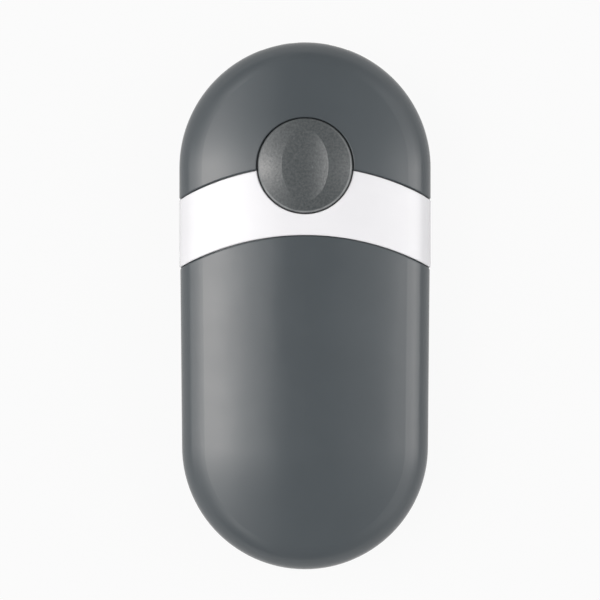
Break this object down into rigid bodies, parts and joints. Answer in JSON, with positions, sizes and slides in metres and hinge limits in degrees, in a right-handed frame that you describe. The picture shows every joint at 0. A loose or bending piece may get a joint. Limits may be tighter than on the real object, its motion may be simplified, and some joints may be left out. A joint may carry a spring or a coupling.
{
  "type": "pocket self-inking stamp",
  "caption": "Flat round-ended folding stamp: push button releases a hinged front half that carries a round text plate over the ink pad of the rear half.",
  "frame": {"origin": "middle of the outline, on the plane that the flat back rests on", "axes": "+X to the right seen from the front face, +Y along the length to the hinge and button end, +Z out of the front face"},
  "size_m": [0.052, 0.109, 0.0231],
  "materials": {
    "dark_gloss_case": "gloss",
    "black_matte_frame": "fine grained",
    "zinc_plated_steel": "plated",
    "grey_matte_tray": "moulded",
    "inked_pad": "woven cover, soaked",
    "spring_steel": "bright drawn",
    "white_gloss_band": "gloss",
    "grey_foam": "closed cell",
    "red_rubber": "laser engraved",
    "satin_grey_button": "satin",
    "natural_acetal": "moulded"
  },
  "bodies": {
    "base": {"rear_shell": "dark_gloss_case", "rear_frame": "black_matte_frame", "rear_frame_screws": "zinc_plated_steel", "ink_pad_tray": "grey_matte_tray", "ink_pad": "inked_pad", "strike_spring": "spring_steel", "strike_screw": "zinc_plated_steel", "hinge_pin": "zinc_plated_steel", "hinge_spring": "spring_steel"},
    "cover": {"top_cap": "dark_gloss_case", "white_band": "white_gloss_band", "front_shell": "dark_gloss_case", "front_frame": "black_matte_frame", "latch_keeper": "black_matte_frame", "keeper_screws": "zinc_plated_steel", "cap_screws": "zinc_plated_steel", "band_screws": "zinc_plated_steel", "shell_screws": "zinc_plated_steel", "latch_spring": "spring_steel", "die_mount": "grey_matte_tray", "die_foam": "grey_foam", "text_plate": "red_rubber"},
    "button": {"release_button": "satin_grey_button"},
    "latch": {"latch_slide": "natural_acetal"}
  },
  "joints": [
    {"name": "cover_hinge", "type": "hinge", "parent": "base", "child": "cover", "pos_m": [0, 0.0492, 0.01155], "axis": [-1, 0, 0], "range_deg": [0, 180], "deforming": ["strike_spring", "hinge_spring"]},
    {"name": "button_press", "type": "slide", "parent": "cover", "child": "button", "axis": [0, 0, -1], "range_m": [0, 0.002], "stiffness_N_per_m": 600, "springref_m": -0.002},
    {"name": "latch_travel", "type": "slide", "parent": "cover", "child": "latch", "axis": [0, 1, 0], "range_m": [0, 0.002], "deforming": ["latch_spring"]}
  ],
  "couplings": [
    {"joint": "latch_travel", "follows": "button_press", "ratio": 1}
  ]
}
